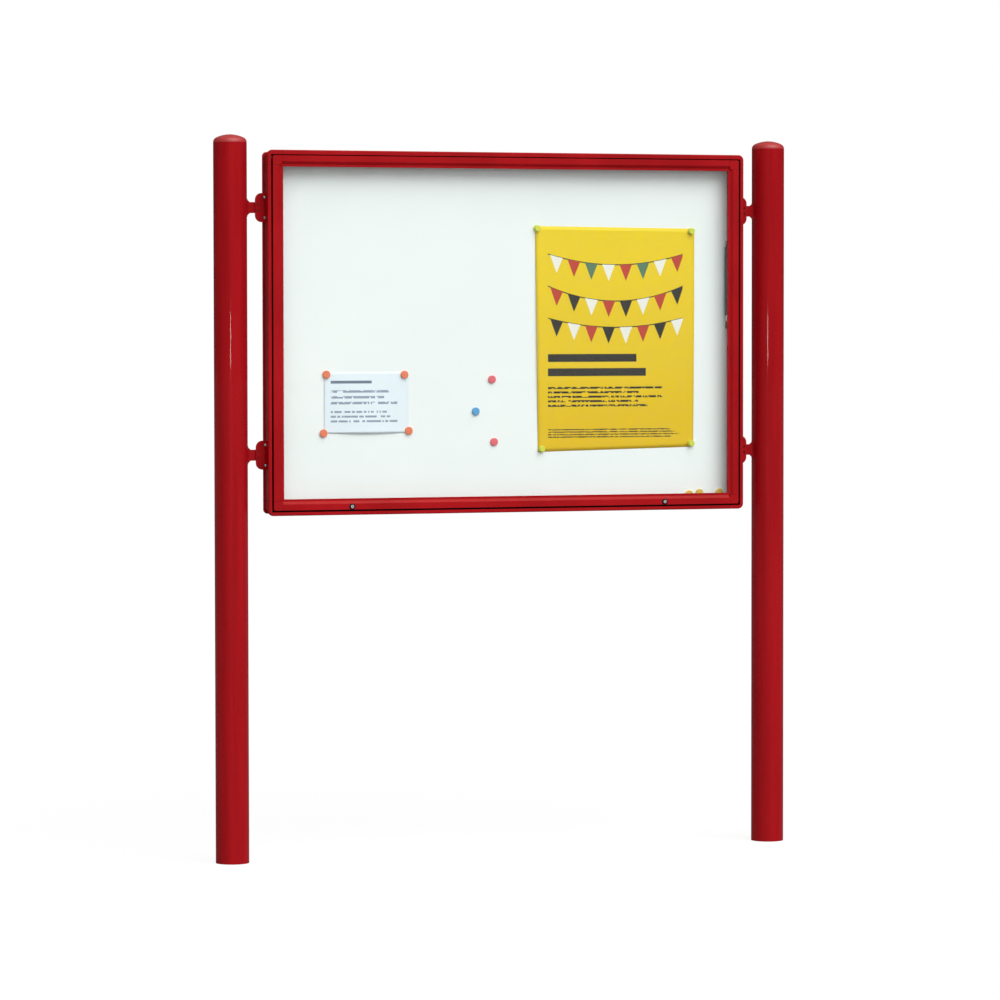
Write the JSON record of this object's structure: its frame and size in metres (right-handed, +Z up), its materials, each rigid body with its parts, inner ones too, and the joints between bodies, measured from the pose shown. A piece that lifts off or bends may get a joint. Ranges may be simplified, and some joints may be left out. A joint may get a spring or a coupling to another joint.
{
  "type": "lockable notice board",
  "caption": "Shallow glazed notice case between round posts, with a top-hinged door on gas struts, cam locks and a white magnetic back for sheets.",
  "frame": {"origin": "on the ground line, midway between the axes of the two posts", "axes": "+Z up along the posts, the glazed front faces -Y, +X to the right of someone who faces the front"},
  "size_m": [1.682, 0.0956, 2],
  "materials": {
    "frame_paint": "satin",
    "post_paint": "satin",
    "bracket_paint": "satin",
    "corner_paint": "satin",
    "cap_plastic": "satin",
    "fastener_steel": "satin",
    "lock_steel": "satin",
    "black_trim": "satin",
    "bush_plastic": "matte",
    "clear_pane": "gloss",
    "black_rubber": "matte",
    "white_board": "satin",
    "core_panel": "matte",
    "back_sheet": "satin",
    "strut_paint": "satin",
    "strut_chrome": "polished",
    "strut_fitting": "matte",
    "notice_paper": "matte",
    "poster_paper": "satin",
    "orange_plastic": "gloss",
    "red_plastic": "gloss",
    "blue_plastic": "gloss",
    "lime_plastic": "gloss",
    "ochre_plastic": "gloss"
  },
  "bodies": {
    "posts_and_case": {"left_post": "post_paint", "right_post": "post_paint", "left_post_cap": "cap_plastic", "right_post_cap": "cap_plastic", "post_lugs": "post_paint", "case_brackets": "bracket_paint", "lug_bolts": "fastener_steel", "lug_nuts": "fastener_steel", "bracket_screws": "fastener_steel", "bracket_screw_nuts": "fastener_steel", "casing_top_rail": "frame_paint", "casing_bottom_rail": "frame_paint", "casing_left_stile": "frame_paint", "casing_right_stile": "frame_paint", "casing_corners": "corner_paint", "hinge_bushes": "bush_plastic", "door_seal": "black_rubber", "casing_seam_gaskets": "black_rubber", "lock_strikes": "fastener_steel", "case_strut_brackets": "fastener_steel", "case_strut_screws": "fastener_steel", "magnetic_board_face": "white_board", "board_core": "core_panel", "back_panel": "back_sheet", "back_rivets": "back_sheet", "notice_sheet": "notice_paper", "poster_sheet": "poster_paper", "orange_magnets": "orange_plastic", "red_magnets": "red_plastic", "blue_magnet": "blue_plastic", "ochre_magnets": "ochre_plastic", "lime_pin_magnets": "lime_plastic"},
    "door": {"door_top_rail": "frame_paint", "door_bottom_rail": "frame_paint", "door_left_stile": "frame_paint", "door_right_stile": "frame_paint", "door_corners": "corner_paint", "door_glass": "clear_pane", "door_strut_brackets": "fastener_steel", "door_strut_screws": "fastener_steel", "glazing_gasket": "black_rubber", "glazing_beads": "frame_paint", "hinge_pins": "fastener_steel", "lock_bodies": "black_trim", "lock_trim_rings": "black_trim", "lock_nuts": "fastener_steel"},
    "left_lock": {"left_lock_plug": "lock_steel", "left_lock_cam": "fastener_steel", "left_cam_screw": "fastener_steel"},
    "left_strut_cylinder": {"left_strut_tube": "strut_paint", "left_strut_eye": "strut_fitting"},
    "left_strut_piston": {"left_strut_rod": "strut_chrome", "left_strut_foot": "strut_fitting"},
    "right_lock": {"right_lock_plug": "lock_steel", "right_lock_cam": "fastener_steel", "right_cam_screw": "fastener_steel"},
    "right_strut_cylinder": {"right_strut_tube": "strut_paint", "right_strut_eye": "strut_fitting"},
    "right_strut_piston": {"right_strut_rod": "strut_chrome", "right_strut_foot": "strut_fitting"}
  },
  "joints": [
    {"name": "door_lift", "type": "hinge", "parent": "posts_and_case", "child": "door", "pos_m": [0, -0.041, 1.937], "axis": [-1, 0, 0], "range_deg": [0, 60]},
    {"name": "left_lock_turn", "type": "hinge", "parent": "door", "child": "left_lock", "pos_m": [-0.462, -0.047, 0.9785], "axis": [0, 1, 0], "range_deg": [0, 90]},
    {"name": "right_lock_turn", "type": "hinge", "parent": "door", "child": "right_lock", "pos_m": [0.462, -0.047, 0.9785], "axis": [0, -1, 0], "range_deg": [0, 90]},
    {"name": "left_strut_swing", "type": "hinge", "parent": "door", "child": "left_strut_cylinder", "pos_m": [-0.662, -0.017, 1.708], "axis": [1, 0, 0], "range_deg": [0, 93]},
    {"name": "left_strut_extend", "type": "slide", "parent": "left_strut_cylinder", "child": "left_strut_piston", "axis": [0, 0, -1], "range_m": [0, 0.1555]},
    {"name": "right_strut_swing", "type": "hinge", "parent": "door", "child": "right_strut_cylinder", "pos_m": [0.662, -0.017, 1.708], "axis": [1, 0, 0], "range_deg": [0, 93]},
    {"name": "right_strut_extend", "type": "slide", "parent": "right_strut_cylinder", "child": "right_strut_piston", "axis": [0, 0, -1], "range_m": [0, 0.1555]}
  ],
  "couplings": [
    {"joint": "left_strut_swing", "follows": "door_lift", "ratio": 1.5435},
    {"joint": "left_strut_extend", "follows": "door_lift", "m_per_rad": 0.14824},
    {"joint": "right_strut_swing", "follows": "door_lift", "ratio": 1.5435},
    {"joint": "right_strut_extend", "follows": "door_lift", "m_per_rad": 0.14824}
  ]
}
